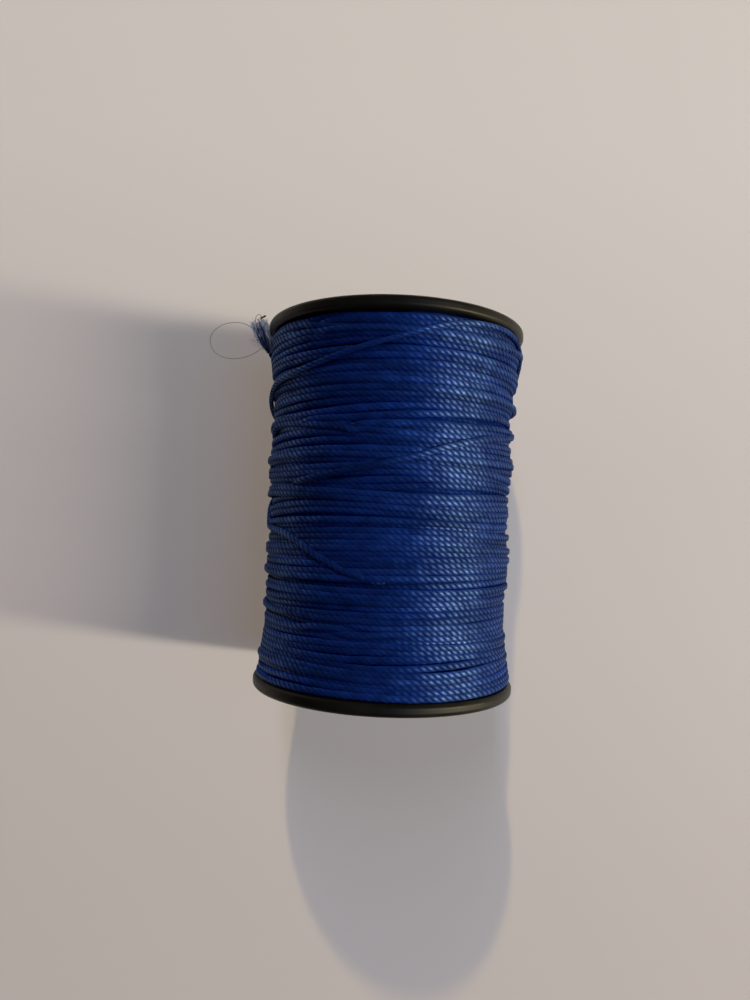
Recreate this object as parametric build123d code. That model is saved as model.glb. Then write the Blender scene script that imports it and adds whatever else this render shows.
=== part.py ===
from build123d import *
import os
from math import cos, radians, sin, tan

# A spool of twisted cord that lies on its side. Its axis runs along Y, it rests on both
# flange rims at z = 0, and the origin is the point on the floor under the spool's middle.
# The cord's free end is at the +Y end of the spool, on the -X side. Lengths in mm.

# ---------------------------------------------------------------- driving dimensions
FLANGE_RADIUS = 26.0
SPOOL_LENGTH = 72.6
RIM_THICKNESS = 2.4
RIM_ROUNDING = 0.9
RIM_WIDTH = 2.6
WEB_THICKNESS = 1.4
RIB_COUNT = 6
RIB_WIDTH = 1.3
RIB_DROP = 0.3

SPINDLE_BORE_RADIUS = 8.1
HUB_RADIUS = 10.8
SPIGOT_LENGTH = 9.0
SPIGOT_CHAMFER = 0.5

TUBE_BORE_RADIUS = 9.5
TUBE_WALL = 1.5

TAPE_THICKNESS = 0.12
TAPE_WIDTH = 12.0
TAPE_LENGTH_DEGREES = 70.0

CORD_DIAMETER = 1.0
FILAMENT_DIAMETER = 0.12
STRAND_DIAMETER = 0.3

AXIS_HEIGHT = FLANGE_RADIUS
INNER_FACE = SPOOL_LENGTH / 2 - RIM_THICKNESS
TUBE_RADIUS = TUBE_BORE_RADIUS + TUBE_WALL
WINDING_GAP = 0.1
WINDING_BORE_RADIUS = TUBE_RADIUS + TAPE_THICKNESS + 0.03

# How high the wound cord stands: (place along the axis, outer radius).
WINDING_PROFILE = [
    (-INNER_FACE + WINDING_GAP, 25.3),
    (-29.0, 24.9),
    (-20.0, 24.2),
    (0.0, 24.1),
    (18.0, 24.2),
    (27.0, 24.8),
    (INNER_FACE - WINDING_GAP, 24.9),
]

# The last turn of cord: it crosses the winding towards the +Y flange, runs beside that
# flange, drops back from it on the +X side, passes under the spool and comes up on the
# -X side. (Degrees round the axis from the top towards +X, place along the axis, radius.)
TAIL_TURN = [
    (-124, 15.6, 25.1),
    (-107, 16.7, 25.2),
    (-92, 18.6, 25.3),
    (-78, 21.3, 25.4),
    (-60, 23.0, 25.5),
    (-38, 24.2, 25.7),
    (-15, 27.0, 25.8),
    (4, 29.3, 25.8),
    (22, 32.2, 25.8),
    (42, 33.4, 25.8),
    (62, 33.3, 25.8),
    (78, 31.4, 25.9),
    (89, 28.6, 25.9),
    (102, 26.2, 25.8),
    (120, 24.8, 25.8),
    (144, 24.4, 25.9),
    (169, 25.2, 25.9),
    (194, 26.7, 25.9),
    (219, 28.1, 25.9),
    (240, 29.0, 25.8),
    (256, 29.8, 25.8),
]
# ... and leaves it there: x, place along the axis, height above the axis.
TAIL_END = [
    (-25.9, 31.0, -1.4),
    (-26.6, 32.6, 0.7),
]

# The frayed end: where its fibres go, as x, place along the axis, height above the axis.
FRAY_MIDDLE = (-27.3, 34.4, 2.6)
FRAY_TIP = (-28.1, 36.6, 4.4)
FRAY_FIBRES = 12
FRAY_SPREAD = 1.2
MELTED_STRAND = [
    (-28.6, 37.2, 4.5),
    (-28.2, 37.8, 4.9),
    (-27.4, 37.5, 5.1),
    (-26.6, 38.0, 5.1),
]
LOOSE_FILAMENT = [
    (-26.9, 32.8, 1.2),
    (-28.3, 31.2, 1.6),
    (-30.6, 29.8, 2.1),
    (-33.6, 29.2, 2.5),
    (-36.6, 30.0, 2.5),
    (-38.2, 32.4, 2.5),
    (-37.7, 35.0, 2.5),
    (-35.3, 36.8, 2.7),
    (-32.2, 37.2, 3.0),
    (-29.8, 36.4, 3.3),
    (-28.2, 35.0, 3.2),
]


def solid_of_revolution(outline):
    """The solid that a face drawn in XY, x outwards, makes when turned about the spool's axis."""
    return Pos(0, 0, AXIS_HEIGHT) * revolve(outline, axis=Axis.Y)


def ring(inner_radius, outer_radius, low, high):
    """A plain tube about the spool's axis, from low to high along it."""
    middle = Pos((inner_radius + outer_radius) / 2, (low + high) / 2)
    return middle * Rectangle(outer_radius - inner_radius, high - low)


def smooth_path(points):
    """Straight runs joined by the largest arcs that both runs at a corner leave room for."""
    corners = [Vector(*p) for p in points]
    runs = [b - a for a, b in zip(corners, corners[1:])]
    radii = []
    for before, after in zip(runs, runs[1:]):
        half_turn = radians(before.get_angle(after)) / 2
        radii.append(0.45 * min(before.length, after.length) / tan(half_turn))
    path = FilletPolyline(*corners, radius=radii)
    return path, radii


def tube_along(points, diameter, name):
    """A round tube whose middle follows the points."""
    path, radii = smooth_path(points)
    section = Plane(path @ 0, z_dir=path % 0) * Circle(diameter / 2)
    tube = sweep(section, path=path)
    expected = section.area * path.length
    sizes = ", ".join(f"{r:.1f}" for r in radii)
    print(f"{name}: length {path.length:.1f}, volume {tube.volume:.3f} of {expected:.3f}, radii {sizes}")
    return tube


def on_spool(x, along, height):
    """A point given from the spool's axis, in the part's frame."""
    return (x, along, AXIS_HEIGHT + height)


def round_the_axis(degrees, along, radius):
    angle = radians(degrees)
    return on_spool(radius * sin(angle), along, radius * cos(angle))


# ---------------------------------------------------------------- sub-parts
def core_tube():
    return solid_of_revolution(ring(TUBE_BORE_RADIUS, TUBE_RADIUS, -INNER_FACE, INNER_FACE))


def flange():
    """The moulded end at +Y: rim, web, ribs, hub and the spigot that presses into the tube."""
    outer_face = INNER_FACE + RIM_THICKNESS
    rim = ring(FLANGE_RADIUS - RIM_WIDTH, FLANGE_RADIUS, INNER_FACE, outer_face)
    rim = fillet(rim.vertices().sort_by(Axis.X)[-2:], RIM_ROUNDING)
    web = ring(SPINDLE_BORE_RADIUS, FLANGE_RADIUS - RIM_WIDTH / 2, INNER_FACE, INNER_FACE + WEB_THICKNESS)
    hub = ring(SPINDLE_BORE_RADIUS, HUB_RADIUS, INNER_FACE, outer_face)
    spigot = ring(SPINDLE_BORE_RADIUS, TUBE_BORE_RADIUS, INNER_FACE - SPIGOT_LENGTH, INNER_FACE)
    lead_in = spigot.vertices().sort_by(Axis.Y)[:2].sort_by(Axis.X)[-1:]
    spigot = chamfer(lead_in, SPIGOT_CHAMFER)
    body = solid_of_revolution(rim + web + hub + spigot)

    rib_inside = HUB_RADIUS - 1
    rib_outside = FLANGE_RADIUS - RIM_WIDTH + 0.5
    rib_top = outer_face - RIB_DROP
    rib = Pos(0, (INNER_FACE + rib_top) / 2, (rib_inside + rib_outside) / 2) * Box(
        RIB_WIDTH, rib_top - INNER_FACE, rib_outside - rib_inside
    )
    for i in range(RIB_COUNT):
        body += Pos(0, 0, AXIS_HEIGHT) * Rot(0, i * 360 / RIB_COUNT, 0) * rib
    return body


def start_tape():
    """The strip that holds the cord's first turn to the tube."""
    strip = ring(TUBE_RADIUS, TUBE_RADIUS + TAPE_THICKNESS, -TAPE_WIDTH / 2, TAPE_WIDTH / 2)
    strip = Pos(0, -INNER_FACE + TAPE_WIDTH) * strip
    return Pos(0, 0, AXIS_HEIGHT) * revolve(strip, axis=Axis.Y, revolution_arc=TAPE_LENGTH_DEGREES)


def line_winding():
    """The wound cord as one solid of its outer shape."""
    outer = [(radius, along) for along, radius in WINDING_PROFILE]
    low = outer[0][1]
    high = outer[-1][1]
    edges = Curve() + [
        Spline(*outer),
        Line(outer[-1], (WINDING_BORE_RADIUS, high)),
        Line((WINDING_BORE_RADIUS, high), (WINDING_BORE_RADIUS, low)),
        Line((WINDING_BORE_RADIUS, low), outer[0]),
    ]
    return solid_of_revolution(make_face(edges))


def line_tail():
    """The cord's last turn, which lies on the winding, up to the frayed end."""
    points = [round_the_axis(*p) for p in TAIL_TURN]
    points += [on_spool(*p) for p in TAIL_END]
    return tube_along(points, CORD_DIAMETER, "line_tail")


def frayed_tip():
    """Loose fibres that fan out from the cut end of the cord."""
    fibres = []
    root = Vector(*on_spool(*TAIL_END[-1]))
    middle = Vector(*on_spool(*FRAY_MIDDLE))
    tip = Vector(*on_spool(*FRAY_TIP))
    section = Plane(root, z_dir=middle - root)
    for i in range(FRAY_FIBRES):
        angle = radians(137.5 * i)
        reach = (0.15 + 0.85 * i / FRAY_FIBRES) ** 0.5
        side = section.x_dir * cos(angle) + section.y_dir * sin(angle)
        start = root + section.z_dir * 0.05 + side * reach * (CORD_DIAMETER / 2 - 0.1)
        bend = middle + side * reach * FRAY_SPREAD * 0.6
        end = tip + side * reach * FRAY_SPREAD + section.z_dir * 0.5 * sin(2.1 * i)
        fibres.append(tube_along([start, bend, end], FILAMENT_DIAMETER, f"fibre {i + 1}"))
    return Compound(children=fibres)


def melted_strand():
    """One strand of the cut end, melted hard and dark."""
    return tube_along([on_spool(*p) for p in MELTED_STRAND], STRAND_DIAMETER, "melted_strand")


def loose_filament():
    """One fine filament pulled out of the frayed end into a loop."""
    return tube_along([on_spool(*p) for p in LOOSE_FILAMENT], FILAMENT_DIAMETER, "loose_filament")


os.makedirs("parts", exist_ok=True)
rear = flange()
nodes = {
    "core_tube": core_tube(),
    "rear_flange": rear,
    "front_flange": mirror(rear, about=Plane.XZ),
    "start_tape": start_tape(),
    "line_winding": line_winding(),
    "line_tail": line_tail(),
    "frayed_tip": frayed_tip(),
    "melted_strand": melted_strand(),
    "loose_filament": loose_filament(),
}
for name, shape in nodes.items():
    export_step(shape, f"parts/{name}.step")
    print(name, round(shape.volume, 2))
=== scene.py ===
import math

import bpy
import numpy as np
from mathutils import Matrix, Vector


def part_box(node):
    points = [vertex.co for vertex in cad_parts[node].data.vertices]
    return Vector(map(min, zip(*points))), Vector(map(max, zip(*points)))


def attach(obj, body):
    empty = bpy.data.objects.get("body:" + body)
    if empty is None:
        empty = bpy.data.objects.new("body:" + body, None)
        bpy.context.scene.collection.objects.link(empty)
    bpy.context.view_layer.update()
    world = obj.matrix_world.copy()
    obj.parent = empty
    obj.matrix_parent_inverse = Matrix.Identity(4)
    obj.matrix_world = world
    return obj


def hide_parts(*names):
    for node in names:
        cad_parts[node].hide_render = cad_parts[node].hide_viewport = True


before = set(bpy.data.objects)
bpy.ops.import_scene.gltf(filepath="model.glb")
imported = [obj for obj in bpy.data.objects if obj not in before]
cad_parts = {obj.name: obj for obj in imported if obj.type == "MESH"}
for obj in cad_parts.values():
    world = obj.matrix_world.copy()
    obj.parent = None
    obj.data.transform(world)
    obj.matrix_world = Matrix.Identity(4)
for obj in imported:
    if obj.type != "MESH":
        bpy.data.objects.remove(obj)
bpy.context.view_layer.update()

# ---------------------------------------------------------------- sizes, in millimetres
# The spool's axis runs along Y. A place on the spool is given by the angle round the axis
# from the top towards +X, the place along the axis, and the distance from the axis.
MM = 0.001


def millimetres(box):
    """A node's box, as two arrays in millimetres."""
    low, high = box
    return np.array(low) / MM, np.array(high) / MM


REAR_LOW, REAR_HIGH = millimetres(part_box("rear_flange"))
TUBE_LOW, TUBE_HIGH = millimetres(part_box("core_tube"))
FLANGE_RADIUS = (REAR_HIGH[2] - REAR_LOW[2]) / 2
AXIS_HEIGHT = FLANGE_RADIUS
INNER_FACE = TUBE_HIGH[1]
TUBE_RADIUS = (TUBE_HIGH[2] - TUBE_LOW[2]) / 2

CORD = 1.0
# Height and width of the section as shares of the diameter, and how square it is, from 2 for an
# ellipse up. A wound turn is pressed flat and fills the gap to the next one.
WOUND_SHAPE = (0.92, 1.24, 3.4)
FREE_SHAPE = (0.96, 1.06, 2.1)
# The strands make one full turn round the cord in each lay. Every strand shows as a bead.
LAY = 3.9
STRANDS = 3
# A strand's distance from the middle of the cord and its radius, as shares of the cord's radius.
STRAND_OFFSET = 0.16
STRAND_RADIUS = 0.84

# The outer layer: its turns, the points on each, the beads on each, and how many beads the rows
# of beads wander by.
TURNS = 67
SLICES = 180
BEADS_PER_TURN = 115
ROW_WANDER = 0.35
# The middle of the outer layer's cord, roughly.
MEAN_RADIUS = 24
# The least distance between turns side by side, as a share of the cord's diameter.
SPACING = 0.97
# How the layer settles: the number of steps, and how far each step smooths the cord, pulls it
# back along the axis and pulls it back towards its radius.
SETTLING_STEPS = 160
SMOOTHING = 0.45
PULL_ALONG = 0.02
PULL_TO_RADIUS = 0.08
# The layer below has fewer points on each turn. The depths of its cord and of the body under it,
# below the outer layer's cord, are in cord diameters.
UNDER_SLICES = 72
UNDER_DEPTH = 0.86
INNER_DEPTH = 1.7
# A crossing turn ends this deep in the winding and rises to lie on it, in cord diameters.
BURIED = 1.5
LIFT = 0.62
DIVE_DEGREES = 22.0

# The winding's outline: place along the axis and outer radius.
WINDING_OUTLINE = [
    (-33.4, 25.5),
    (-31, 25.2),
    (-28.5, 24.7),
    (-25, 24.4),
    (-20, 24.05),
    (-15, 24.25),
    (-10, 24.4),
    (-5, 24.05),
    (0, 24.1),
    (5, 24.6),
    (10, 24.55),
    (15, 24.3),
    (18, 24.0),
    (21, 24.4),
    (25, 24.9),
    (28, 25.2),
    (31, 25.35),
    (33.4, 25.2),
]

# The last turn's route, up to 0.35 mm nearer to the axis than the CAD tail's, so that it lies on
# the turns below it: degrees, place along the axis, radius.
TAIL_TURN = [
    (-124, 15.6, 24.9),
    (-107, 16.7, 24.95),
    (-92, 18.6, 25.0),
    (-78, 21.3, 25.2),
    (-60, 23.0, 25.5),
    (-38, 24.2, 25.7),
    (-15, 27.0, 25.8),
    (4, 29.3, 25.8),
    (22, 32.2, 25.8),
    (42, 33.4, 25.8),
    (62, 33.3, 25.7),
    (78, 31.4, 25.6),
    (89, 28.6, 25.55),
    (102, 26.2, 25.6),
    (120, 24.8, 25.6),
    (144, 24.4, 25.9),
    (169, 25.2, 25.9),
    (194, 26.7, 25.9),
    (219, 28.1, 25.9),
    (240, 29.0, 25.8),
    (256, 29.8, 25.8),
]
TAIL_END = [
    (-25.9, 30.7, -1.4),
    (-26.5, 32.2, 0.6),
]

# The strands open out past the end of the cord: x, place along the axis, height above it.
FRAY_ROOT = (-26.1, 31.2, -0.1)
FRAY_MIDDLE = (-26.9, 33.7, 2.6)
FRAY_TIP = (-27.9, 36.5, 4.4)
MELTED_STRAND = [
    (-27.5, 36.8, 4.8),
    (-27.2, 37.05, 4.95),
    (-26.85, 37.2, 5.0),
    (-26.3, 37.55, 5.0),
]
MELTED_DROP = [
    (-28.5, 33.0, 2.7),
    (-28.2, 33.1, 2.7),
    (-27.9, 32.9, 2.6),
]
CURLED_FILAMENT = [
    (-28.0, 35, 4.0),
    (-28.5, 36.2, 4.5),
    (-28.4, 37.2, 4.8),
    (-27.8, 37.7, 5.0),
    (-27.3, 37.4, 5.0),
    (-27.4, 36.9, 4.8),
]
LOOSE_FILAMENT = [
    (-26.9, 32.35, 1.2),
    (-28.3, 30.9, 1.6),
    (-30.6, 29.5, 2.1),
    (-33.6, 28.9, 2.5),
    (-36.6, 29.7, 2.5),
    (-38.2, 31.95, 2.5),
    (-37.7, 34.55, 2.5),
    (-35.3, 36.2, 2.7),
    (-32.2, 36.6, 3.0),
    (-29.8, 35.8, 3.3),
    (-28.2, 34.55, 3.2),
]
# The fibres in the brush, those of them at its two sides, and the strays.
BRUSH_FIBRES = 130
EDGE_FIBRES = 26
STRAY_FIBRES = 14
# The radii of each kind of fibre, of the loose filaments and of the two melted beads.
BRUSH_FIBRE = 0.052
EDGE_FIBRE = 0.085
STRAY_FIBRE = 0.05
FILAMENT = 0.055
BEAD = 0.17
DROP = 0.13

# Bunched turns that stand up from the right side of the outer layer, and sunken ones between
# them: degrees, place along the axis, and how far they rise. All fade out over the same angle in
# radians, and the same length of the axis.
RIDGE_ANGLE = 0.6
RIDGE_LENGTH = 1.3
RIDGES = [
    (88, 24.9, 0.25),
    (92, 22.5, -0.45),
    (90, 20.2, 0.50),
    (90, 17.9, -0.60),
    (88, 15.5, 0.55),
    (88, 13.2, -0.50),
    (92, 8.8, 0.25),
    (85, 4.6, -0.40),
    (90, 2.3, -0.35),
    (95, -4.8, 0.40),
    (90, -8.5, 0.40),
    (92, -13.6, 0.50),
    (88, -16.6, -0.35),
    (90, -20.5, -0.25),
]

# Turns of the line that cross over the others: degrees and place along the axis. Each end
# dives back into the winding.
CROSSING_TURNS = [
    [
        (-120, 2.4),
        (-95, 0.5),
        (-85, -1.5),
        (-78, -4.5),
        (-66, -5.2),
        (-54, -5.7),
        (-45, -6.8),
        (-38, -8.1),
        (-31.6, -9.4),
        (-25, -10.6),
        (-19, -11.9),
        (-14, -12.4),
        (-7, -13.3),
        (8, -14.2),
    ],
    [
        (118, 17.0),
        (100, 16.2),
        (80, 15.0),
        (62, 13.6),
        (45, 12.7),
        (33, 11.7),
        (25, 10.7),
        (17, 9.6),
        (11, 8.6),
        (4, 7.8),
        (-8, 6.4),
        (-25, 5.0),
        (-45, 3.6),
        (-60, 3.0),
    ],
]


def on_spool(x, along, height):
    """A point given from the spool's axis, in metres in the row frame."""
    return Vector((x * MM, along * MM, (AXIS_HEIGHT + height) * MM))


def round_the_axis(degrees, along, radius):
    """The same, from the angle round the axis, the place along it and the distance from it."""
    angle = math.radians(degrees)
    return on_spool(radius * math.sin(angle), along, radius * math.cos(angle))


# ---------------------------------------------------------------- camera
def make_camera():
    """A phone held level above the table, close to the middle of the spool."""
    data = bpy.data.cameras.new("camera")
    data.lens = 26.02
    data.clip_start = 0.01
    camera = bpy.data.objects.new("camera", data)
    camera.location = on_spool(-0.70, -3.88, 148.96)
    camera.rotation_euler = (0.0363, 0.0132, 0.0423)
    bpy.context.collection.objects.link(camera)
    bpy.context.scene.camera = camera


make_camera()


# ---------------------------------------------------------------- materials
class Nodes:
    """Short names for building a material's node tree."""

    def __init__(self, name):
        self.material = bpy.data.materials.new(name)
        self.material.use_nodes = True
        self.tree = self.material.node_tree
        self.shader = self.tree.nodes["Principled BSDF"]

    def add(self, kind, **values):
        node = self.tree.nodes.new("ShaderNode" + kind)
        for key, value in values.items():
            if key in node.inputs:
                node.inputs[key].default_value = value
            else:
                setattr(node, key, value)
        return node

    def join(self, output, target):
        self.tree.links.new(output, target)

    def set(self, **values):
        for key, value in values.items():
            self.shader.inputs[key.replace("_", " ")].default_value = value

    def noise(self, source, scale, detail=2.0, roughness=0.5):
        node = self.add("TexNoise", Scale=scale, Detail=detail, Roughness=roughness)
        self.join(source, node.inputs["Vector"])
        return node.outputs["Fac"]

    def ramp(self, source, *stops):
        """stops are (position, colour) or (position, number)."""
        node = self.add("ValToRGB")
        elements = node.color_ramp.elements
        while len(elements) < len(stops):
            elements.new(0.5)
        for element, (position, colour) in zip(elements, stops):
            element.position = position
            if isinstance(colour, (int, float)):
                colour = (colour, colour, colour)
            element.color = (*colour, 1)
        self.join(source, node.inputs["Fac"])
        return node.outputs["Color"]

    def scaled(self, source, factors):
        node = self.add("VectorMath", operation="MULTIPLY")
        node.inputs[1].default_value = factors
        self.join(source, node.inputs[0])
        return node.outputs["Vector"]

    def blend(self, factor, a, b, mode="MIX"):
        node = self.add("MixRGB", blend_type=mode)
        for value, socket in zip((factor, a, b), node.inputs):
            if isinstance(value, (int, float)):
                socket.default_value = value if socket.type == "VALUE" else (value, value, value, 1)
            elif isinstance(value, tuple):
                socket.default_value = (*value, 1)
            else:
                self.join(value, socket)
        return node.outputs["Color"]

    def bump(self, height, strength, distance):
        node = self.add("Bump", Strength=strength, Distance=distance)
        self.join(height, node.inputs["Height"])
        self.join(node.outputs["Normal"], self.shader.inputs["Normal"])


def cord_material(name, deep, bright, gloss, painted_gap_light):
    """Filament nylon: streaks of fibre along the cord, darkened between the strands by painted
    shade, with highlights spread across the fibres. gloss is the strength of the highlights on the
    strands.
    The last argument is painted light: a gain in colour between the turns that stands in for light
    coming through the nylon. Turns that stand proud get painted light as well."""
    m = Nodes(name)
    fibre = m.add("Attribute", attribute_name="fibre").outputs["Vector"]
    crest = m.add("Attribute", attribute_name="crest").outputs["Fac"]
    tone_and_proud_light = m.add("Attribute", attribute_name="tone_and_proud_light").outputs["Fac"]
    gap = m.add("Attribute", attribute_name="gap").outputs["Fac"]
    streaks = m.noise(m.scaled(fibre, (1, 1, 0.055)), 15.0, detail=3.0, roughness=0.65)
    patches = m.noise(m.scaled(fibre, (0.4, 0.4, 0.3)), 1.1, detail=2.0)
    body = m.blend(m.ramp(streaks, (0.3, 0.0), (0.72, 1.0)), deep, bright)
    # Painted shade: the colour is darkened where the strands meet.
    groove_shade = m.ramp(crest, (0.0, 0.88), (0.6, 1.0))
    body = m.blend(1.0, body, groove_shade, "MULTIPLY")
    body = m.blend(1.0, body, m.ramp(patches, (0.28, 0.72), (0.72, 1.25)), "MULTIPLY")
    # A brightness that varies at random along the cord, with painted light on turns that stand
    # proud.
    body = m.blend(1.0, body, m.ramp(tone_and_proud_light, (0.0, 0.66), (1.0, 1.24)), "MULTIPLY")
    # Painted light: between the turns the colour gains, standing in for light that comes through
    # the nylon.
    body = m.blend(1.0, body, m.ramp(gap, (0.0, 1.0), (1.0, painted_gap_light)), "MULTIPLY")
    m.join(body, m.shader.inputs["Base Color"])
    m.join(m.ramp(crest, (0.1, 0.75), (0.6, 0.55), (0.9, 0.36)), m.shader.inputs["Roughness"])
    shine = m.ramp(crest, (0.2, 0.1 * gloss), (0.75, gloss))
    shine = m.blend(1.0, shine, m.ramp(tone_and_proud_light, (0.1, 0.6), (0.9, 1.3)), "MULTIPLY")
    shine = m.blend(1.0, shine, m.ramp(gap, (0.0, 1.0), (0.35, 0.15)), "MULTIPLY")
    shine = m.blend(1.0, shine, m.ramp(patches, (0.32, 0.45), (0.68, 1.5)), "MULTIPLY")
    m.join(shine, m.shader.inputs["Specular IOR Level"])
    m.set(Specular_Tint=(0.43, 0.72, 1.0, 1), IOR=1.7, Metallic=0.38, Anisotropic=0.88)
    across = m.add("Attribute", attribute_name="across").outputs["Vector"]
    m.join(across, m.shader.inputs["Tangent"])
    m.bump(streaks, 0.4, 0.00004)
    return m.material


def flange_material():
    """Black moulded plastic, satin, with fine handling marks."""
    m = Nodes("flange_plastic")
    place = m.add("TexCoord").outputs["Object"]
    grain = m.noise(place, 2600.0, detail=3.0)
    clouds = m.noise(place, 120.0, detail=4.0, roughness=0.6)
    colour = m.ramp(clouds, (0.3, (0.0035, 0.0032, 0.0022)), (0.75, (0.008, 0.0072, 0.0048)))
    m.join(colour, m.shader.inputs["Base Color"])
    m.join(m.ramp(clouds, (0.3, 0.34), (0.75, 0.5)), m.shader.inputs["Roughness"])
    m.set(Specular_IOR_Level=0.22, Specular_Tint=(1.0, 0.92, 0.74, 1))
    m.bump(grain, 0.12, 0.00003)
    return m.material


def plain_material(name, low, high, scale, roughness):
    """A dull surface, faintly mottled from one colour to the other."""
    m = Nodes(name)
    place = m.add("TexCoord").outputs["Object"]
    pattern = m.noise(place, scale, detail=5.0, roughness=0.6)
    m.join(m.ramp(pattern, (0.3, low), (0.7, high)), m.shader.inputs["Base Color"])
    m.set(Roughness=roughness)
    m.bump(pattern, 0.2, 0.00008)
    return m.material


def fibre_material(name, blue, clear):
    """Single filaments, from blue where they lie together to clear where they stand alone."""
    m = Nodes(name)
    pale = m.add("Attribute", attribute_name="pale").outputs["Fac"]
    place = m.add("TexCoord").outputs["Object"]
    mottle = m.ramp(m.noise(place, 4000.0), (0.3, 0.75), (0.7, 1.2))
    body = m.blend(m.ramp(pale, (0.0, 0.0), (0.9, 1.0)), blue, clear)
    m.join(m.blend(1.0, body, mottle, "MULTIPLY"), m.shader.inputs["Base Color"])
    m.set(Roughness=0.32, Specular_IOR_Level=0.6)
    return m.material


BLUE_CORD = cord_material(
    "blue_cord",
    deep=(0.0032, 0.013, 0.104),
    bright=(0.0066, 0.029, 0.153),
    gloss=0.97,
    painted_gap_light=(2.0, 3.6, 5.2),
)
# A darker copy of the blue cord with little shine: painted shade for the layers below the outer
# one.
SHADED_UNDER_CORD = cord_material(
    "under_cord_painted_shade",
    deep=(0.001, 0.012, 0.095),
    bright=(0.003, 0.024, 0.135),
    gloss=0.2,
    painted_gap_light=(1.2, 1.4, 1.6),
)


# ---------------------------------------------------------------- twisted cord
def smooth_noise(x, seed, waves=5, low=0.6, high=2.2):
    """A repeatable smooth wander of about unit size, as a sum of sines."""
    draw = np.random.RandomState(seed)
    total = np.zeros_like(np.asarray(x, float))
    for _ in range(waves):
        total = total + np.sin(draw.uniform(low, high) * x + draw.uniform(0, 2 * np.pi))
    return total / math.sqrt(waves / 2)


def evenly(points, step):
    """The line through the points, cut again at equal steps."""
    runs = np.linalg.norm(np.diff(points, axis=0), axis=1)
    place = np.concatenate([[0], np.cumsum(runs)])
    count = max(2, int(round(place[-1] / step)) + 1)
    places = np.linspace(0, place[-1], count)
    return np.stack([np.interp(places, place, points[:, i]) for i in range(3)], axis=1), places


def mesh_object(name, vertices, quads, caps, attributes, material):
    """A mesh piece in the row frame from arrays. vertices are in millimetres."""
    mesh = bpy.data.meshes.new(name)
    corners = np.concatenate([quads.ravel(), *[np.asarray(c) for c in caps]]).astype(np.int32)
    sizes = np.concatenate([np.full(len(quads), 4), [len(c) for c in caps]]).astype(np.int32)
    starts = np.concatenate([[0], np.cumsum(sizes)[:-1]]).astype(np.int32)
    mesh.vertices.add(len(vertices))
    mesh.vertices.foreach_set("co", (vertices * MM).astype(np.float32).ravel())
    mesh.loops.add(len(corners))
    mesh.loops.foreach_set("vertex_index", corners)
    mesh.polygons.add(len(sizes))
    mesh.polygons.foreach_set("loop_start", starts)
    mesh.polygons.foreach_set("loop_total", sizes)
    mesh.update(calc_edges=True)
    mesh.validate()
    for key, (kind, field, values) in attributes.items():
        attribute = mesh.attributes.new(key, kind, "POINT")
        attribute.data.foreach_set(field, values.astype(np.float32).ravel())
    mesh.polygons.foreach_set("use_smooth", np.ones(len(sizes), bool))
    mesh.materials.append(material)
    piece = bpy.data.objects.new(name, mesh)
    bpy.context.collection.objects.link(piece)
    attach(piece, "root")
    return piece


def lobes(around):
    """Radius of a three-strand cord round its section, as a share of its outer radius."""
    angle = np.arange(around) * 2 * np.pi / around
    nearest = (angle + np.pi / STRANDS) % (2 * np.pi / STRANDS) - np.pi / STRANDS
    reach = np.sqrt(STRAND_RADIUS**2 - (STRAND_OFFSET * np.sin(nearest)) ** 2)
    return angle, STRAND_OFFSET * np.cos(nearest) + reach


def directions(line):
    """Two directions across the line at each of its points: away from the spool's axis, and
    square to that."""
    along = np.gradient(line, axis=0)
    along /= np.linalg.norm(along, axis=1)[:, None]
    out = line * np.array([1, 0, 1])
    out -= along * np.sum(out * along, axis=1)[:, None]
    out /= np.linalg.norm(out, axis=1)[:, None]
    return out, np.cross(along, out)


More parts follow.
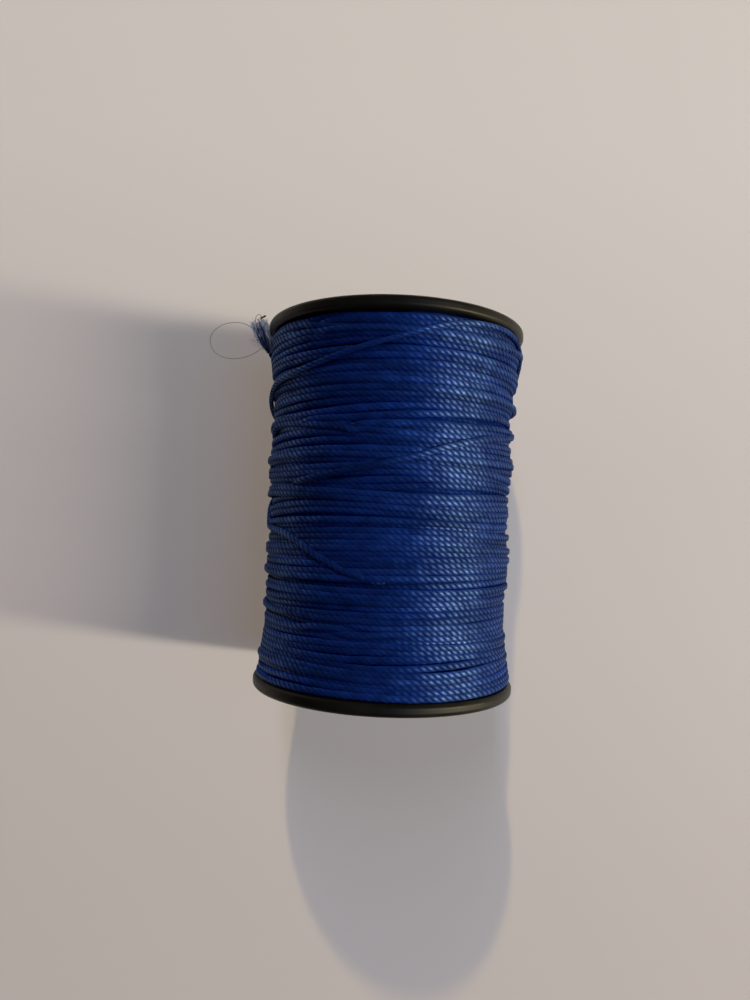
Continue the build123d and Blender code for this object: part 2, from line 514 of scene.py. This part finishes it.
def twisted_section_rings(centre, start, shape, around, rings_per_bead, seed, opens, in_rows):
    """Vertices and attributes of a Z-laid cord along centre, an (n, 3) line in millimetres
    from the axis. start is how far along the cord the line begins, and opens is the length of
    its end where the cord gives way to loose fibres. in_rows is true where each turn's beads
    lie beside the last turn's, in rows that wander across the winding."""
    line, place = evenly(centre, LAY / STRANDS / rings_per_bead)
    place = place + start
    out, side = directions(line)
    angle, share = lobes(around)
    slow = smooth_noise(place, seed, low=0.05, high=0.25)
    if in_rows:
        round_axis = np.unwrap(np.arctan2(line[:, 0], line[:, 2]))
        lean = 2 * np.pi * ROW_WANDER * smooth_noise(line[:, 1], 17, low=0.15, high=0.5)
        twist = (BEADS_PER_TURN * round_axis + lean) / STRANDS + 0.12 * slow
    else:
        twist = 2 * np.pi * place / LAY + 0.5 * slow
    turn = angle[None, :] + twist[:, None]
    swell = 1 + 0.035 * smooth_noise(place, seed + 1, low=0.2, high=1.6)
    if opens:
        swell *= np.clip((place[-1] - place) / opens, 0.3, 1)
    radius = CORD / 2 * share[None, :] * swell[:, None]
    high, wide, square = shape
    radius *= (np.abs(np.cos(turn)) ** square + np.abs(np.sin(turn)) ** square) ** (-1 / square)
    ring = (
        line[:, None, :]
        + out[:, None, :] * (np.cos(turn) * radius * high)[:, :, None]
        + side[:, None, :] * (np.sin(turn) * radius * wide)[:, :, None]
    )
    fibre = np.stack(
        [np.cos(turn) / 2, np.sin(turn) / 2, np.repeat(place[:, None], around, axis=1)], axis=2
    )
    across = np.cos(turn)[:, :, None] * side[:, None, :]
    across -= np.sin(turn)[:, :, None] * out[:, None, :]
    crest = (share - share.min()) / (share.max() - share.min())
    crest = np.repeat(crest[None, :], len(line), axis=0)
    proud = np.hypot(line[:, 0], line[:, 2]) - winding_radius(line[:, 1])
    # Brightness that varies at random along the cord, plus painted light that makes turns standing
    # proud lighter.
    tone_and_proud_light = 0.5 + 0.28 * smooth_noise(place, seed + 2, low=0.02, high=0.3)
    tone_and_proud_light += 0.6 * np.clip(proud, 0, 1)
    tone_and_proud_light = np.repeat(tone_and_proud_light[:, None], around, axis=1)
    # gap marks the sides of the cord next to its neighbours, less where a turn stands proud. The
    # material paints light into the colour there and lowers the shine.
    gap = np.clip(0.7 - np.cos(turn), 0, 1) * np.clip(1 - 2.2 * proud, 0, 1)[:, None]
    return ring, fibre, across, crest, np.clip(tone_and_proud_light, 0, 1), gap


def tube_faces(count, around):
    """The quads and two caps of a tube of count rings of around points, facing outwards where
    the points run anticlockwise as seen against the tube's direction."""
    index = np.arange(count * around).reshape(count, around)
    after = np.roll(index, -1, axis=1)
    quads = np.stack([index[:-1], after[:-1], after[1:], index[1:]], axis=2).reshape(-1, 4)
    return quads, [list(index[0][::-1]), list(index[-1])]


def twisted_cord(
    name,
    centre,
    shape,
    material,
    start=0.0,
    around=15,
    rings_per_bead=4,
    seed=1,
    opens=0.0,
    in_rows=False,
):
    """A piece of cord along centre, (n, 3) points in millimetres from the axis. around is the
    number of points round its section. The rest is as in twisted_section_rings."""
    ring, fibre, across, crest, tone_and_proud_light, gap = twisted_section_rings(
        centre, start, shape, around, rings_per_bead, seed, opens, in_rows
    )
    quads, caps = tube_faces(len(ring), around)
    points = ring.reshape(-1, 3) + np.array([0, 0, AXIS_HEIGHT])
    attributes = {
        "fibre": ("FLOAT_VECTOR", "vector", fibre),
        "across": ("FLOAT_VECTOR", "vector", across),
        "crest": ("FLOAT", "value", crest),
        "tone_and_proud_light": ("FLOAT", "value", tone_and_proud_light),
        "gap": ("FLOAT", "value", gap),
    }
    return mesh_object(name, points, quads, caps, attributes, material)


# ---------------------------------------------------------------- winding
def winding_radius(along):
    """How far from the axis the middle of the outer layer's cord lies."""
    places, outer = zip(*WINDING_OUTLINE)
    return np.interp(along, places, outer) - CORD * WOUND_SHAPE[0] / 2


def ridges(angle, along):
    """How far the outer layer stands up from its even surface at the ridges."""
    total = np.zeros_like(along)
    for degrees, place, height in RIDGES:
        off = (angle - math.radians(degrees) + np.pi) % (2 * np.pi) - np.pi
        far = (off / RIDGE_ANGLE) ** 2 + ((along - place) / RIDGE_LENGTH) ** 2
        total += height * np.exp(-far)
    return total


def relaxed_layer():
    """Where the middle of the outer layer's cord runs: its angle, place along the axis and
    radius. The turns are drawn from a wandering lay, then pushed apart until none lies inside
    its neighbour, so that crowded turns ride up and loose ones open a gap."""
    count = TURNS * SLICES
    step = np.arange(count)
    angle = 2 * np.pi * step / SLICES - np.pi
    limit = INNER_FACE - CORD / 2
    even = -limit + 2 * limit * step / (count - 1)
    wander = np.zeros(count)
    draw = np.random.RandomState(7)
    for _ in range(26):
        across = draw.uniform(0.15, 1.1)
        round_axis = draw.choice([0, 1, 1, 2, 2, 3])
        phase = draw.uniform(0, 2 * np.pi)
        size = 0.30 / (0.35 + across)
        wander += size * 0.42 * np.sin(across * even + round_axis * angle + phase)
    lone = 0.21 * smooth_noise(angle, 11, waves=9, low=0.12, high=0.8)
    target = even + wander * np.clip((limit - np.abs(even)) / 3, 0, 1) + lone
    rise = 0.19 * smooth_noise(angle, 23, waves=9, low=0.1, high=0.9) + ridges(angle, target)
    along = np.clip(target, -limit, limit)
    radius = winding_radius(along) + rise
    for _ in range(SETTLING_STEPS):
        along[1:-1] += SMOOTHING * ((along[:-2] + along[2:]) / 2 - along[1:-1])
        radius[1:-1] += SMOOTHING * ((radius[:-2] + radius[2:]) / 2 - radius[1:-1])
        along += PULL_ALONG * (target - along)
        radius += PULL_TO_RADIUS * (winding_radius(along) + rise - radius)
        for neighbour in (1, 2):
            shift = neighbour * SLICES
            apart_along = along[shift:] - along[:-shift]
            apart_radius = radius[shift:] - radius[:-shift]
            apart = np.hypot(apart_along, apart_radius) + 1e-6
            push = np.clip(CORD * SPACING - apart, 0, None) / apart / 2
            along[shift:] += push * apart_along
            along[:-shift] -= push * apart_along
            radius[shift:] += push * apart_radius
            radius[:-shift] -= push * apart_radius
        along = np.clip(along, -limit, limit)
    return angle, along, radius


def on_axis_line(angle, along, radius):
    """Points from the axis in millimetres, as an (n, 3) array."""
    return np.stack([radius * np.sin(angle), along, radius * np.cos(angle)], axis=1)


def make_outer_layer():
    """The turns in view, as six pieces of one cord."""
    angle, along, radius = relaxed_layer()
    centre = on_axis_line(angle, along, radius)
    pieces = 6
    bounds = np.linspace(0, len(angle) - 1, pieces + 1).astype(int)
    run = 2 * np.pi * MEAN_RADIUS / SLICES
    for number in range(pieces):
        low, high = bounds[number], bounds[number + 1]
        piece = twisted_cord(
            f"winding_turns_{number + 1}",
            centre[low : high + 1],
            WOUND_SHAPE,
            BLUE_CORD,
            start=low * run,
            seed=40 + number,
            in_rows=True,
        )
        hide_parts("line_winding")


def make_crossing_turns():
    """Turns that run across the others, each from where it comes up to where it dives."""
    for number, route in enumerate(CROSSING_TURNS):
        degrees, along = np.array(route, float).T
        order = np.argsort(degrees)
        angle = np.arange(degrees.min(), degrees.max(), 1.0)
        place = np.interp(angle, degrees[order], along[order])
        soft = np.hanning(13)
        place = np.convolve(np.pad(place, 6, "edge"), soft / soft.sum(), "valid")
        from_end = np.minimum(angle - angle[0], angle[-1] - angle)
        dive = np.clip(from_end / DIVE_DEGREES, 0, 1)
        risen = 3 * dive**2 - 2 * dive**3
        radius = winding_radius(place) + CORD * ((BURIED + LIFT) * risen - BURIED)
        centre = on_axis_line(np.radians(angle), place, radius)
        piece = twisted_cord(
            f"crossing_turn_{number + 1}", centre, WOUND_SHAPE, BLUE_CORD, seed=60 + number
        )
        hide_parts("line_winding")


def make_under_layer():
    """The layer below, seen only in the gaps."""
    turns = TURNS + 1
    angle = -2 * np.pi * np.arange(turns * UNDER_SLICES) / UNDER_SLICES
    limit = INNER_FACE - CORD / 2
    along = np.linspace(-limit, limit, len(angle))
    along = along + 0.25 * np.sin(0.9 * along + 2 * angle) * np.clip(limit - np.abs(along), 0, 1)
    radius = winding_radius(along) - UNDER_DEPTH * CORD
    centre = on_axis_line(angle, along, radius)
    middle = len(angle) // 2
    for number, part in enumerate((centre[: middle + 1], centre[middle:])):
        piece = twisted_cord(
            f"winding_under_{number + 1}",
            part,
            WOUND_SHAPE,
            SHADED_UNDER_CORD,
            around=6,
            rings_per_bead=2,
            seed=80 + number,
        )
        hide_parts("line_winding")


def make_inner_layers():
    """The cord below that, as one ribbed body down to the tube."""
    rows = TURNS * 4
    around = 120
    along = np.linspace(-INNER_FACE + 0.1, INNER_FACE - 0.1, rows)
    ribs = 0.25 * np.abs(np.sin(np.pi * along / CORD))
    outer = winding_radius(along) - INNER_DEPTH * CORD + ribs
    inner = TUBE_RADIUS + 0.15
    along = np.concatenate([along, [along[-1], along[0]]])
    radius = np.concatenate([outer, [inner, inner]])
    angle = np.arange(around) * 2 * np.pi / around
    points = np.stack(
        [
            np.outer(np.sin(angle), radius),
            np.tile(along, (around, 1)),
            np.outer(np.cos(angle), radius) + AXIS_HEIGHT,
        ],
        axis=2,
    ).reshape(-1, 3)
    index = np.arange(around * len(along)).reshape(around, len(along))
    down = np.roll(index, -1, axis=1)
    across = np.roll(index, -1, axis=0)
    both = np.roll(down, -1, axis=0)
    quads = np.stack([index, across, both, down], axis=2).reshape(-1, 4)
    fibre = np.stack([points[:, 0], points[:, 2], points[:, 1] * 8], axis=1)
    ones = np.ones(len(points))
    attributes = {
        "fibre": ("FLOAT_VECTOR", "vector", fibre),
        "across": ("FLOAT_VECTOR", "vector", np.tile([0.0, 1.0, 0.0], (len(points), 1))),
        "crest": ("FLOAT", "value", ones * 0.3),
        "tone_and_proud_light": ("FLOAT", "value", ones * 0.3),
    }
    piece = mesh_object("winding_inner", points, quads, [], attributes, SHADED_UNDER_CORD)
    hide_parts("line_winding")


# ---------------------------------------------------------------- the last turn
def spline_points(name, points):
    """A NURBS line with these control points, and the points along it, in metres."""
    data = bpy.data.curves.new(name, "CURVE")
    data.dimensions = "3D"
    data.resolution_u = 12
    spline = data.splines.new("NURBS")
    spline.points.add(len(points) - 1)
    for control, point in zip(spline.points, points):
        control.co = (*point, 1)
    spline.order_u = 3
    spline.use_endpoint_u = True
    curve = bpy.data.objects.new(name, data)
    bpy.context.collection.objects.link(curve)
    bpy.context.view_layer.update()
    mesh = bpy.data.meshes.new_from_object(curve)
    line = np.array([v.co for v in mesh.vertices], float)
    bpy.data.meshes.remove(mesh)
    bpy.data.objects.remove(curve)
    bpy.data.curves.remove(data)
    return line


def make_tail():
    """The last turn, which ends loose at the rear flange."""
    route = [round_the_axis(*p) for p in TAIL_TURN] + [on_spool(*p) for p in TAIL_END]
    line = spline_points("tail_route", route)
    centre = line / MM - np.array([0, 0, AXIS_HEIGHT])
    piece = twisted_cord("line_tail_cord", centre, FREE_SHAPE, BLUE_CORD, seed=5, opens=2.2)
    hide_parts("line_tail")


make_tail()
make_outer_layer()
make_crossing_turns()
make_under_layer()
make_inner_layers()


# ---------------------------------------------------------------- loose fibres
def tube_rings(line, radii, around):
    """Rings of a plain tube along line, an (n, 3) array, turned as little as possible."""
    along = np.gradient(line, axis=0)
    along /= np.linalg.norm(along, axis=1)[:, None]
    out = np.cross(along[0], (0.3, 0.5, 0.8))
    rings = []
    angle = np.arange(around) * 2 * np.pi / around
    for point, direction, radius in zip(line, along, radii):
        out = out - direction * np.dot(out, direction)
        out /= np.linalg.norm(out)
        side = np.cross(direction, out)
        ring = np.outer(np.cos(angle), out) + np.outer(np.sin(angle), side)
        rings.append(point + radius * ring)
    return np.array(rings)


def fibres(name, lines, material, around=4):
    """A piece of plain tubes. Each of lines is (points, radii, pale), in millimetres from the
    axis, with pale from 0, blue, to 1, clear."""
    vertices, quads, caps, pales = [], [], [], []
    first = 0
    for line, radii, pale in lines:
        ring = tube_rings(np.asarray(line, float), radii, around)
        faces, ends = tube_faces(len(ring), around)
        quads.append(faces + first)
        caps += [[corner + first for corner in end] for end in ends]
        vertices.append(ring.reshape(-1, 3))
        pales.append(np.repeat(np.broadcast_to(pale, len(ring)), around))
        first += len(ring) * around
    points = np.concatenate(vertices) + np.array([0, 0, AXIS_HEIGHT])
    attributes = {"pale": ("FLOAT", "value", np.concatenate(pales))}
    return mesh_object(name, points, np.concatenate(quads), caps, attributes, material)


def curve_through(points, count):
    """A smooth line through a few points, as (count, 3): Catmull-Rom."""
    points = np.asarray(points, float)
    padded = np.concatenate([[2 * points[0] - points[1]], points, [2 * points[-1] - points[-2]]])
    places = np.linspace(0, len(points) - 1 - 1e-9, count)
    start = places.astype(int)
    t = (places - start)[:, None]
    a, b, c, d = (padded[start + i] for i in range(4))
    return 0.5 * (
        2 * b + (c - a) * t + (2 * a - 5 * b + 4 * c - d) * t**2 + (3 * b - a - 3 * c + d) * t**3
    )


def make_frayed_tip():
    """The opened end: a brush of filaments, bluer where they lie close, clear outside."""
    draw = np.random.RandomState(31)
    root, middle, tip = (np.array(p, float) for p in (FRAY_ROOT, FRAY_MIDDLE, FRAY_TIP))
    along = (tip - root) / np.linalg.norm(tip - root)
    wide = np.cross(along, (0, 0, 1))
    wide /= np.linalg.norm(wide)
    deep = np.cross(along, wide)
    lines = []
    for number in range(BRUSH_FIBRES):
        at_edge = number < EDGE_FIBRES
        share = 1.0 if at_edge else math.sqrt(draw.uniform())
        angle = draw.uniform(0, 2 * math.pi)
        if at_edge:
            angle = math.pi * (number % 2) + draw.normal(0, 0.35)
        offset = share * (math.cos(angle) * wide + math.sin(angle) * 0.8 * deep)
        reach = draw.uniform(0.75, 1.1) if share > 0.35 else draw.uniform(0.8, 1.0)
        points = [
            root + 0.42 * offset,
            root + (middle - root) * 0.5 + 0.95 * offset + draw.normal(0, 0.04, 3),
            middle + 1.4 * offset + draw.normal(0, 0.08, 3),
            middle + (tip - middle) * 0.55 + 1.55 * offset + draw.normal(0, 0.14, 3),
            middle + (tip - middle) * reach + 1.45 * offset + draw.normal(0, 0.3, 3),
        ]
        line = curve_through(points, 14)
        place = np.linspace(0, 1, 14)
        pale = -0.7 + 0.9 * place + 1.9 * (share - 0.7) + draw.normal(0, 0.42) + 1.5 * at_edge
        thick = (EDGE_FIBRE if at_edge else BRUSH_FIBRE) * draw.uniform(0.75, 1.25)
        radii = thick * (1 - 0.35 * place)
        lines.append((line, radii, np.clip(pale, 0, 1)))
    for _ in range(STRAY_FIBRES):
        foot = root + (middle - root) * draw.uniform(0, 0.8) + draw.normal(0, 0.12, 3)
        out = draw.uniform(1.4, 3.8)
        lift = draw.uniform(0.9, 2.6)
        points = [
            foot,
            foot + (-0.5 * out, 0.4 * lift, 0.3) + draw.normal(0, 0.1, 3),
            foot + (-out, lift, 0.7) + draw.normal(0, 0.2, 3),
        ]
        radii = np.full(12, STRAY_FIBRE)
        lines.append((curve_through(points, 12), radii, draw.uniform(0.0, 0.5)))
    piece = fibres("frayed_fibres", lines, FIBRE)
    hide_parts("frayed_tip")


def make_melted_strand():
    """A dark bead of melted nylon across the tips, with a clear filament curled beside it."""
    line = curve_through(MELTED_STRAND, 16)
    place = np.linspace(0, 1, 16)
    radii = BEAD * np.sqrt(np.clip(1 - (2 * place - 1) ** 4, 0.02, 1))
    radii *= 1 + 0.16 * smooth_noise(place * 9, 3)
    drop = curve_through(MELTED_DROP, 8)
    round_radii = DROP * np.sqrt(np.clip(1 - (2 * np.linspace(0, 1, 8) - 1) ** 2, 0.04, 1))
    lines = [(line, radii, 0.0), (drop, round_radii, 0.0)]
    piece = fibres("melted_bead", lines, MELTED, around=10)
    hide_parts("melted_strand")
    curl = curve_through(CURLED_FILAMENT, 30)
    piece = fibres("curled_filament", [(curl, np.full(30, FILAMENT), 0.9)], CLEAR, around=8)
    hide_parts("melted_strand")


def make_loose_filament():
    """One filament, pulled out of the cord into a loop."""
    line = spline_points("filament_route", [on_spool(*p) for p in LOOSE_FILAMENT])
    centre = line / MM - np.array([0, 0, AXIS_HEIGHT])
    lines = [(centre, np.full(len(centre), FILAMENT), 0.9)]
    piece = fibres("loose_filament_fibre", lines, CLEAR, around=8)
    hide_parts("loose_filament")


FIBRE = fibre_material("fray_fibre", (0.006, 0.038, 0.19), (0.86, 0.88, 0.92))
CLEAR = fibre_material("clear_filament", (0.02, 0.03, 0.06), (0.17, 0.165, 0.17))
MELTED = plain_material("melted_nylon", (0.010, 0.006, 0.006), (0.035, 0.018, 0.016), 3000.0, 0.35)
make_frayed_tip()
make_melted_strand()
make_loose_filament()


# ---------------------------------------------------------------- carried-over parts
def dress(node, material):
    """Give a CAD node this material."""
    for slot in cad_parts[node].material_slots:
        slot.material = material


FLANGE = flange_material()
dress("rear_flange", FLANGE)
dress("front_flange", FLANGE)
dress("core_tube", plain_material("tube_paper", (0.30, 0.21, 0.13), (0.42, 0.32, 0.21), 900.0, 0.8))
dress("start_tape", plain_material("tape", (0.6, 0.55, 0.42), (0.7, 0.66, 0.55), 500.0, 0.4))


# ---------------------------------------------------------------- floor and light
def make_floor():
    """A plain pale table, with painted light and shade: a little warmer and darker towards the
    front, lighter at the back.
    """
    mesh = bpy.data.meshes.new("floor")
    half = 1.5
    mesh.from_pydata(
        [(-half, -half, 0), (half, -half, 0), (half, half, 0), (-half, half, 0)], [], [(0, 1, 2, 3)]
    )
    floor = bpy.data.objects.new("floor", mesh)
    bpy.context.collection.objects.link(floor)
    m = Nodes("floor")
    apart = m.add("SeparateXYZ")
    m.join(m.add("TexCoord").outputs["Generated"], apart.inputs[0])
    # Painted light and shade: the table is lighter at the back and darker towards the front.
    front, middle, back = (0.590, 0.535, 0.490), (0.615, 0.566, 0.520), (0.695, 0.655, 0.605)
    colour = m.ramp(apart.outputs["Y"], (0.47, front), (0.503, middle), (0.53, back))
    m.join(colour, m.shader.inputs["Base Color"])
    m.set(Roughness=0.6)
    mesh.materials.append(m.material)


def area_light(name, azimuth, elevation, distance, width, height, watts, colour, glints=True):
    """A rectangle of light aimed at the spool. Azimuth is from +X towards +Y, in degrees like
    elevation. Without glints, the light isn't seen in reflections."""
    data = bpy.data.lights.new(name, "AREA")
    data.shape = "RECTANGLE"
    data.size = width
    data.size_y = height
    data.energy = watts
    data.color = colour
    lamp = bpy.data.objects.new(name, data)
    a, e = math.radians(azimuth), math.radians(elevation)
    towards = Vector((math.cos(a) * math.cos(e), math.sin(a) * math.cos(e), math.sin(e)))
    lamp.location = towards * distance + Vector((0, 0, AXIS_HEIGHT * MM))
    lamp.visible_glossy = glints
    lamp.rotation_mode = "QUATERNION"
    lamp.rotation_quaternion = (-towards).to_track_quat("-Z", "Y")
    bpy.context.collection.objects.link(lamp)


def make_light():
    """A dim blue room, a tall window on the right in two parts with the sky above it, and
    behind the spool a small lamp and the wall over it."""
    world = bpy.data.worlds.new("world")
    bpy.context.scene.world = world
    world.use_nodes = True
    tree = world.node_tree
    background = tree.nodes["Background"]
    place = tree.nodes.new("ShaderNodeTexCoord")
    height = tree.nodes.new("ShaderNodeSeparateXYZ")
    ramp = tree.nodes.new("ShaderNodeValToRGB")
    ramp.color_ramp.elements[0].position = 0.05
    ramp.color_ramp.elements[0].color = (0.012, 0.014, 0.018, 1)
    ramp.color_ramp.elements[1].position = 0.75
    ramp.color_ramp.elements[1].color = (0.010, 0.018, 0.050, 1)
    tree.links.new(place.outputs["Generated"], height.inputs["Vector"])
    tree.links.new(height.outputs["Z"], ramp.inputs["Fac"])
    tree.links.new(ramp.outputs["Color"], background.inputs["Color"])
    area_light("window_low", -6.5, 18, 2.0, 0.14, 1.07, 26.0, (1.0, 0.93, 0.69))
    area_light("window_high", -6.5, 41.5, 2.0, 0.14, 0.60, 15.1, (1.0, 0.91, 0.85))
    area_light("sky", -8, 64, 1.6, 0.9, 0.80, 4.2, (0.20, 0.48, 1.0))
    area_light("lamp", 98, 34, 2.0, 0.05, 0.07, 15.9, (1.0, 0.77, 0.35), glints=False)
    area_light("wall", 98, 50.5, 1.8, 0.2, 1.0, 8.9, (0.66, 0.73, 1.0), glints=False)


make_floor()
make_light()
bpy.context.scene.view_settings.view_transform = "Standard"
